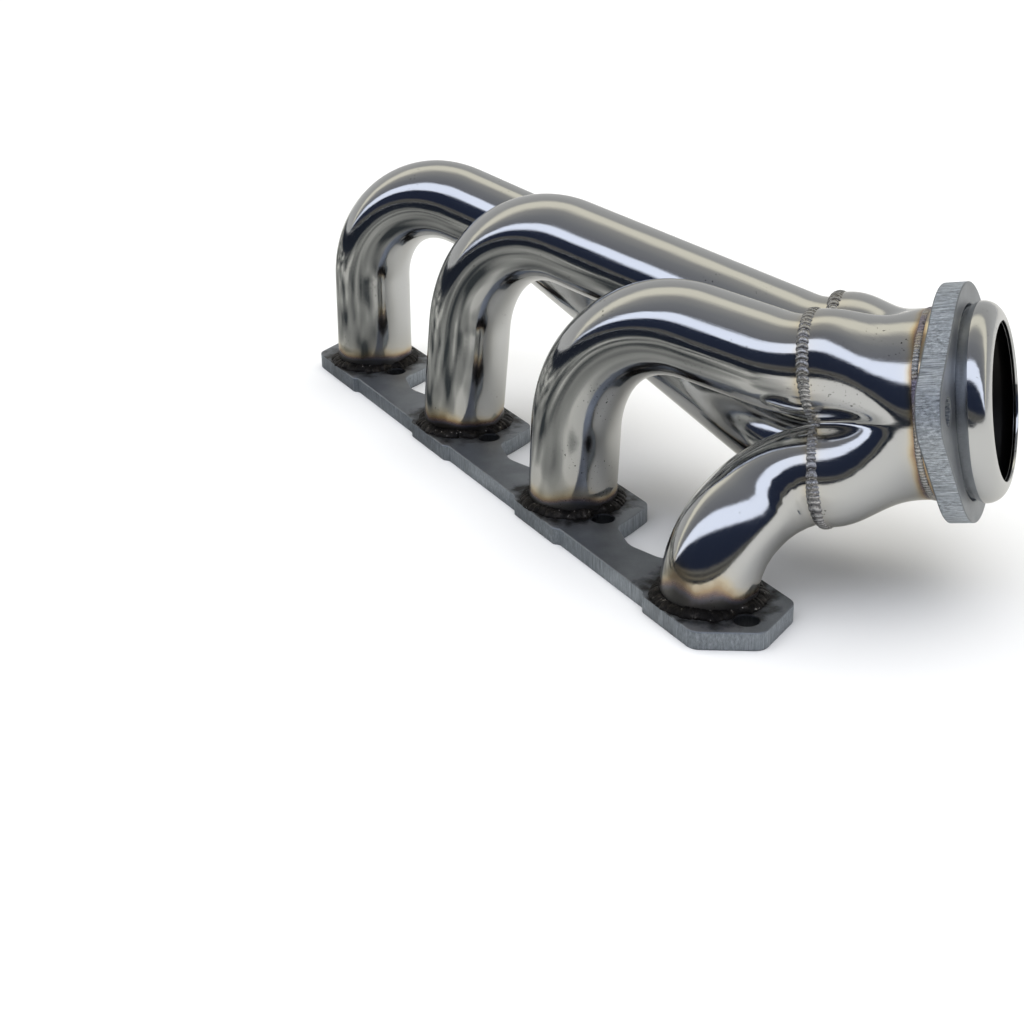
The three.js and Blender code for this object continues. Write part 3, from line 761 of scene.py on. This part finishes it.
def polished_steel(name, roughness=0.06):
    """Mirror-polished stainless: faint lengthwise lines, slow waviness, heat colours by the welds, and the
    bores painted near black as painted shade.
    """
    g = Graph(name)
    lay = g.attribute("lay", "Vector")
    place = g.place()
    heat = g.attribute("burn")
    patch = g.noise(place, 60.0, 4.0)
    unevenness = g.maths("MULTIPLY", g.span(patch, 0.3, 0.7, -0.12, 0.12), g.span(heat, 0.02, 0.3))
    uneven_heat = g.maths("ADD", heat, unevenness)
    tint = g.ramp(uneven_heat, HEAT_COLOURS)
    cloud = g.noise(place, 18.0, 3.0)
    clouded = g.mix_colours(g.span(cloud, 0.35, 0.7, 0.0, 0.22), tint, (0.56, 0.57, 0.58))
    speck_seed = g.noise(place, 900.0, 2.0)
    speck_patch = g.noise(place, 45.0, 2.0)
    specks = g.maths("MULTIPLY", g.span(speck_seed, 0.68, 0.70), g.span(speck_patch, 0.58, 0.64))
    speckled = g.mix_colours(specks, clouded, (0.03, 0.028, 0.026))
    # painted shade: every bore surface (inside the tubes, the collector and the ball outlet) is painted near
    # black, standing in for the shade inside them
    inside = g.mix_colours(g.attribute("bore"), speckled, (0.05, 0.048, 0.047))
    g.join(inside, g.shader.inputs["Base Color"])
    g.shader.inputs["Metallic"].default_value = 1.0
    smear = g.noise(g.stretched(lay, (0.5, 0.5, 0.03)), 1.0, 4.0, 0.6)
    base = g.span(smear, 0.35, 0.75, roughness, roughness + 0.07)
    with_heat = g.maths("ADD", base, g.span(uneven_heat, 0.3, 1.0, 0.0, 0.42))
    with_bore = g.maths("ADD", with_heat, g.maths("MULTIPLY", g.attribute("bore"), 0.45), clamp=True)
    g.join(with_bore, g.shader.inputs["Roughness"])
    lines = g.noise(g.stretched(lay, (2.4, 2.4, 0.02)), 1.0, 5.0, 0.65)
    waves = g.noise(g.stretched(lay, (0.085, 0.085, 0.022)), 1.0, 2.0, 0.45)
    grain = g.noise(place, 700.0, 2.0)
    smooth = g.bump(waves, 0.00024)
    lined = g.bump(lines, 0.000011, 1.0, smooth)
    rough_patch = g.bump(grain, 0.00003, 0.25, lined)
    g.join(rough_patch, g.shader.inputs["Normal"])
    return g.material


# depths of the cut marks on each rim, in metres
HEAD_EDGE_DEPTH = 0.0004
SWIVEL_EDGE_DEPTH = 0.0012
HEAD_EDGE_COLOURS = [
    (0.34, (0.22, 0.245, 0.28)),
    (0.5, (0.38, 0.42, 0.47)),
    (0.66, (0.62, 0.665, 0.72)),
]
SWIVEL_EDGE_COLOURS = [
    (0.36, (0.14, 0.155, 0.185)),
    (0.5, (0.52, 0.57, 0.635)),
    (0.62, (0.90, 0.95, 1.00)),
]


def plated_plate(name, thickness, bolt_offset, edge_colours, edge_depth, port_spacing=None):
    """Satin blue-grey plated plate: grainy faces, striped laser-cut rim, bolt-hole walls painted near black
    as painted shade, soot round any ports.
    """
    g = Graph(name)
    lay = g.attribute("lay", "Vector")
    along, across, depth = g.parts(lay)
    fine = g.noise(lay, 2.6, 3.0, 0.7)
    blotch = g.noise(lay, 0.09, 4.0, 0.55)
    stripe = g.noise(g.stretched(lay, (1.7, 1.7, 0.09)), 1.0, 3.0, 0.7)
    torn = g.noise(g.stretched(lay, (1.1, 1.1, 0.45)), 1.0, 5.0, 0.8)
    tear_patch = g.noise(lay, 0.045, 2.0)
    depth_in = g.maths("MINIMUM", depth, g.maths("SUBTRACT", thickness, depth))
    edge = g.span(depth_in, 0.2, 0.55)
    face_colour = g.ramp(g.maths("ADD", g.maths("MULTIPLY", fine, 0.55), g.maths("MULTIPLY", blotch, 0.45)), [
        (0.28, (0.195, 0.210, 0.232)),
        (0.5, (0.29, 0.31, 0.34)),
        (0.72, (0.405, 0.43, 0.46)),
    ])
    torn_share = g.span(tear_patch, 0.4, 0.6, 0.25, 0.85)
    torn_part = g.maths("MULTIPLY", torn, torn_share)
    edge_mark = g.maths("ADD", g.maths("MULTIPLY", stripe, g.maths("SUBTRACT", 1.0, torn_share)), torn_part)
    edge_colour = g.ramp(edge_mark, edge_colours)
    colour = g.mix_colours(edge, face_colour, edge_colour)
    if port_spacing:
        step = g.maths("FRACT", g.maths("DIVIDE", along, port_spacing))
        along = g.maths("MULTIPLY", g.maths("SUBTRACT", step, 0.5), port_spacing)
        across = g.maths("SUBTRACT", across, PORT_LINE_Y)
        ragged = g.span(g.noise(lay, 0.16, 4.0), 0.3, 0.7, -5.0, 5.0)
        reach = g.maths("ADD", g.distance(along, across), ragged)
        top_only = g.maths("SUBTRACT", 1.0, g.maths("MULTIPLY", edge, 0.75))
        burnt = g.maths("MULTIPLY", g.span(reach, 23.0, 31.0, 0.94, 0.0), top_only)
        colour = g.mix_colours(burnt, colour, (0.02, 0.018, 0.017))
    # painted shade: the bolt-hole walls and a thin ring round each hole are painted near black, standing in
    # for the shade inside the holes
    from_hole = g.distance(g.maths("SUBTRACT", g.maths("ABSOLUTE", along), bolt_offset), across)
    colour = g.mix_colours(g.span(from_hole, 5.0, 5.9, 0.93, 0.0), colour, (0.02, 0.02, 0.021))
    g.join(colour, g.shader.inputs["Base Color"])
    g.shader.inputs["Metallic"].default_value = 0.92
    face_rough = g.span(fine, 0.3, 0.7, 0.30, 0.46)
    edge_rough = g.span(torn, 0.3, 0.7, 0.28, 0.6)
    mixed = g.maths("ADD", face_rough, g.maths("MULTIPLY", edge, g.maths("SUBTRACT", edge_rough, face_rough)))
    g.join(mixed, g.shader.inputs["Roughness"])
    face_grain = g.bump(fine, 0.00006, 0.7)
    pits = g.bump(g.noise(lay, 0.7, 5.0, 0.7), 0.00012, 0.5, face_grain)
    edge_height = g.maths("MULTIPLY", edge_mark, edge)
    g.join(g.bump(edge_height, edge_depth, 0.75, pits), g.shader.inputs["Normal"])
    return g.material


def burnt_weld(name):
    """Heat-blackened bead with brown scale, a few bare metal glints, and the troughs between puddles painted
    darker as painted shade.
    """
    g = Graph(name)
    place = g.place()
    ripple = g.attribute("ripple")
    scale_mark = g.noise(place, 260.0, 5.0, 0.7)
    glint = g.noise(place, 520.0, 3.0, 0.6)
    colour = g.ramp(scale_mark, [
        (0.34, (0.008, 0.0075, 0.0075)),
        (0.52, (0.018, 0.0165, 0.0155)),
        (0.66, (0.05, 0.044, 0.039)),
        (0.8, (0.2, 0.19, 0.18)),
    ])
    shiny = g.mix_colours(g.span(glint, 0.66, 0.74), colour, (0.45, 0.43, 0.40))
    # painted shade: the troughs between puddles are darkened towards black
    groove_painted_shade = g.mix_colours(g.span(ripple, 0.86, 1.0, 0.0, 0.8), shiny, (0.008, 0.007, 0.006))
    g.join(groove_painted_shade, g.shader.inputs["Base Color"])
    g.shader.inputs["Metallic"].default_value = 0.85
    g.join(g.span(scale_mark, 0.3, 0.75, 0.62, 0.26), g.shader.inputs["Roughness"])
    rough = g.bump(scale_mark, 0.0006, 0.7)
    g.join(g.bump(glint, 0.0003, 0.6, rough), g.shader.inputs["Normal"])
    return g.material


def bright_weld(name, warmth):
    """Rippled bead: each ripple painted light on its crest and dark in its troughs, as painted highlight and
    painted shade, with a little straw and blue colour.
    """
    g = Graph(name)
    place = g.place()
    ripple = g.attribute("ripple")
    patch = g.noise(place, 55.0, 4.0, 0.6)
    mark = g.noise(place, 420.0, 4.0, 0.7)
    # painted highlight and painted shade: the colour runs from near black in the troughs to bright silver on
    # each crest
    crest_highlight_trough_shade = g.ramp(ripple, [
        (0.0, (0.02, 0.02, 0.021)),
        (0.2, (0.24, 0.242, 0.246)),
        (0.5, (0.78, 0.785, 0.79)),
        (0.8, (0.34, 0.342, 0.345)),
        (1.0, (0.015, 0.015, 0.016)),
    ])
    tint = g.ramp(patch, [
        (0.38, (0.60, 0.59, 0.58)),
        (0.52, (0.62, 0.50, 0.33)),
        (0.64, (0.30, 0.26, 0.34)),
    ])
    tinted = g.mix_colours(g.span(patch, 0.42, 0.66, 0.05, warmth), crest_highlight_trough_shade, tint)
    grimy = g.mix_colours(g.span(mark, 0.56, 0.70, 0.0, 0.75), tinted, (0.03, 0.028, 0.026))
    g.join(grimy, g.shader.inputs["Base Color"])
    g.shader.inputs["Metallic"].default_value = 0.96
    g.join(g.span(mark, 0.35, 0.7, 0.14, 0.34), g.shader.inputs["Roughness"])
    g.join(g.bump(mark, 0.0008, 0.9), g.shader.inputs["Normal"])
    return g.material


def dark_scale(name):
    """The sooty inside of the collector, where the plug sits."""
    g = Graph(name)
    place = g.place()
    mark = g.noise(place, 240.0, 4.0, 0.65)
    colour = g.ramp(mark, [
        (0.35, (0.02, 0.018, 0.017)),
        (0.6, (0.09, 0.085, 0.08)),
        (0.75, (0.22, 0.21, 0.2)),
    ])
    g.join(colour, g.shader.inputs["Base Color"])
    g.shader.inputs["Metallic"].default_value = 0.8
    g.join(g.span(mark, 0.3, 0.7, 0.65, 0.35), g.shader.inputs["Roughness"])
    g.join(g.bump(mark, 0.0004, 0.6), g.shader.inputs["Normal"])
    return g.material


def floor_finish(name):
    g = Graph(name)
    place = g.place()
    soft = g.noise(place, 2.0, 2.0)
    colour = g.ramp(soft, [(0.3, (0.86, 0.86, 0.855)), (0.7, (0.89, 0.89, 0.885))])
    g.join(colour, g.shader.inputs["Base Color"])
    g.shader.inputs["Roughness"].default_value = 0.9
    return g.material


# ---- assembly ------------------------------------------------------------------------------------
def dress(obj, material, node):
    """Gives a piece its material and hides the CAD node it stands for."""
    obj.data.materials.clear()
    obj.data.materials.append(material)
    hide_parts(node)


tube_steel = polished_steel("polished_tube")
shell_steel = polished_steel("polished_shell", 0.07)
foot_scale = burnt_weld("burnt_bead")
head_finish = plated_plate(
    "plated_head_plate", FLANGE_THICKNESS, BOLT_OFFSET, HEAD_EDGE_COLOURS, HEAD_EDGE_DEPTH, PORT_SPACING
)
swivel_finish = plated_plate(
    "plated_swivel_plate", OUTLET_FLANGE_THICKNESS, OUTLET_BOLT_OFFSET, SWIVEL_EDGE_COLOURS, SWIVEL_EDGE_DEPTH
)
for number in range(4):
    dress(runner(number), tube_steel, f"runner_{number + 1}")
    dress(foot_weld(number), foot_scale, f"foot_weld_{number + 1}")
dress(collector(), shell_steel, "collector")
dress(outlet_neck(), shell_steel, "outlet_neck")
dress(collector_weld(), bright_weld("silver_bead", 0.12), "collector_weld")
dress(neck_weld(), bright_weld("straw_seam", 0.85), "neck_weld")
dress(head_flange(), head_finish, "head_flange")
dress(outlet_flange(), swivel_finish, "outlet_flange")
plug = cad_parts["merge_plug"]
plug.data.materials.clear()
plug.data.materials.append(dark_scale("sooty_plug"))


# ---- camera, floor and light ---------------------------------------------------------------------
CAMERA_PLACE = Vector((0.7118, -0.3515, 0.3400))
CAMERA_AZIMUTH = math.radians(153.08)
CAMERA_PITCH = math.radians(24.28)
CAMERA_ROLL = math.radians(-1.57)
CAMERA_LENS = 63.76
SENSOR_WIDTH = 36.0
FLOOR_HALF = 6.0
TABLE_HALF = 5.0
TABLE_LIFT = 0.0003


def add_camera():
    forward = Vector((
        math.cos(CAMERA_AZIMUTH) * math.cos(CAMERA_PITCH),
        math.sin(CAMERA_AZIMUTH) * math.cos(CAMERA_PITCH),
        -math.sin(CAMERA_PITCH),
    ))
    level_right = Vector((math.sin(CAMERA_AZIMUTH), -math.cos(CAMERA_AZIMUTH), 0))
    level_up = level_right.cross(forward)
    right = math.cos(CAMERA_ROLL) * level_right + math.sin(CAMERA_ROLL) * level_up
    up = math.cos(CAMERA_ROLL) * level_up - math.sin(CAMERA_ROLL) * level_right
    data = bpy.data.cameras.new("camera")
    data.lens = CAMERA_LENS
    data.sensor_width = SENSOR_WIDTH
    data.clip_start = 0.01
    camera = bpy.data.objects.new("camera", data)
    rotation = Matrix((right, up, -forward)).transposed()
    camera.matrix_world = Matrix.Translation(CAMERA_PLACE) @ rotation.to_4x4()
    bpy.context.scene.collection.objects.link(camera)
    bpy.context.scene.camera = camera


def flat_square(name, half, height, material):
    corners = [(-half, -half, height), (half, -half, height), (half, half, height), (-half, half, height)]
    mesh = bpy.data.meshes.new(name)
    mesh.from_pydata(corners, [], [(0, 1, 2, 3)])
    mesh.materials.append(material)
    square = bpy.data.objects.new(name, mesh)
    bpy.context.scene.collection.objects.link(square)
    return square


def table_finish(name):
    """Painted reflection for the metal to mirror below it: pale, greyer in front with dark patches standing
    in for reflected shade, dark past its edge.
    """
    g = Graph(name)
    place = g.place()
    x, y, _ = g.parts(place)
    in_front = g.maths("MULTIPLY", g.span(y, -0.03, 0.04, 1.0, 0.0), g.span(x, 0.14, 0.26, 1.0, 0.0))
    # painted reflection: near-black to grey patches that stand in for shade and dark parts mirrored in the
    # metal
    reflected_shade_patches = g.ramp(g.noise(place, 11.0, 1.5, 0.5), [
        (0.36, (0.03, 0.034, 0.036)),
        (0.45, (0.15, 0.15, 0.14)),
        (0.56, (0.24, 0.24, 0.22)),
        (0.64, (0.46, 0.45, 0.41)),
    ])
    near = g.mix_colours(in_front, (0.56, 0.55, 0.52), reflected_shade_patches)
    # painted reflection: a dark band past the card's edge, mirrored as the dark band low on the tubes
    past_edge = g.span(y, -0.42, -0.34, 1.0, 0.0)
    g.join(g.mix_colours(past_edge, near, (0.012, 0.015, 0.022)), g.shader.inputs["Base Color"])
    g.shader.inputs["Roughness"].default_value = 1.0
    g.shader.inputs["Specular IOR Level"].default_value = 0.0
    return g.material


def add_mirrored_table():
    """A card seen only in reflections, a hair above the floor."""
    card = flat_square("mirrored_table", TABLE_HALF, TABLE_LIFT, table_finish("mirrored_table"))
    card.visible_camera = False
    card.visible_diffuse = False
    card.visible_transmission = False
    card.visible_shadow = False


# the studio by angle: level behind (0 and 1), straight down (0.25), level in front (0.5), overhead (0.75)
TOWARDS_FRONT = (0.695, -0.720)
PLAIN_BACKDROP = (0.93, 0.93, 0.93, 1.0)
STUDIO = [
    (0.0, (0.50, 0.50, 0.49)),
    (0.46, (0.030, 0.034, 0.045)),
    (0.500, (0.030, 0.034, 0.045)),
    (0.507, (0.20, 0.19, 0.165)),
    (0.514, (0.030, 0.032, 0.036)),
    (0.522, (0.16, 0.155, 0.14)),
    (0.533, (0.018, 0.024, 0.045)),
    (0.620, (0.022, 0.030, 0.055)),
    (0.626, (1.05, 1.12, 1.30)),
    (0.684, (1.05, 1.12, 1.30)),
    (0.692, (0.17, 0.175, 0.195)),
    (0.75, (0.23, 0.235, 0.245)),
    (0.80, (0.34, 0.335, 0.32)),
    (0.83, (0.86, 0.82, 0.69)),
    (0.865, (0.86, 0.82, 0.69)),
    (0.885, (0.38, 0.38, 0.37)),
    (1.0, (0.50, 0.50, 0.49)),
]


def add_world():
    """A wrap-round studio: long softbox high in front, dark below it, grey overhead, cream strip behind."""
    world = bpy.data.worlds.new("studio")
    world.use_nodes = True
    g = Nodes(world.node_tree)
    x, y, z = g.parts(g.place("Generated"))
    front = g.maths("ADD", g.maths("MULTIPLY", x, TOWARDS_FRONT[0]), g.maths("MULTIPLY", y, TOWARDS_FRONT[1]))
    angle = g.maths("ARCTAN2", z, front)
    turn = g.maths("ADD", g.maths("DIVIDE", angle, 2 * math.pi), 0.5)
    studio = g.add("ShaderNodeBackground")
    g.join(g.ramp(turn, STUDIO), studio.inputs["Color"])
    plain = g.add("ShaderNodeBackground")
    plain.inputs["Color"].default_value = PLAIN_BACKDROP
    mix = g.add("ShaderNodeMixShader")
    g.join(g.add("ShaderNodeLightPath").outputs["Is Camera Ray"], mix.inputs["Fac"])
    g.join(studio.outputs[0], mix.inputs[1])
    g.join(plain.outputs[0], mix.inputs[2])
    g.join(mix.outputs[0], g.add("ShaderNodeOutputWorld").inputs["Surface"])
    bpy.context.scene.world = world


SOFTBOX_PLACE = Vector((0.1, 0.3, 1.8))
SOFTBOX_TARGET = Vector((0.0, 0.05, 0.0))
SOFTBOX_SIZE = (2.4, 2.0)
SOFTBOX_WATTS = 14.0
OVERHEAD_STRENGTH = 2.0
OVERHEAD_SPREAD = math.radians(110.0)
OVERHEAD_TILT = math.radians(12.0)


def unmirrored_light(name, kind, energy, matrix):
    """A light that the metal doesn't mirror."""
    data = bpy.data.lights.new(name, kind)
    data.energy = energy
    light = bpy.data.objects.new(name, data)
    light.matrix_world = matrix
    light.visible_glossy = False
    bpy.context.scene.collection.objects.link(light)
    return data


def add_softbox():
    aim = (SOFTBOX_TARGET - SOFTBOX_PLACE).to_track_quat("-Z", "Y").to_matrix()
    matrix = Matrix.Translation(SOFTBOX_PLACE) @ aim.to_4x4()
    data = unmirrored_light("top_softbox", "AREA", SOFTBOX_WATTS, matrix)
    data.shape = "RECTANGLE"
    data.size, data.size_y = SOFTBOX_SIZE


def add_overhead():
    """Even light from above for the whole floor."""
    data = unmirrored_light("overhead", "SUN", OVERHEAD_STRENGTH, Matrix.Rotation(OVERHEAD_TILT, 4, "X"))
    data.angle = OVERHEAD_SPREAD


add_camera()
flat_square("floor", FLOOR_HALF, 0.0, floor_finish("pale_floor"))
add_mirrored_table()
add_world()
add_softbox()
add_overhead()
bpy.context.scene.view_settings.view_transform = "Standard"
bpy.context.scene.view_settings.look = "None"
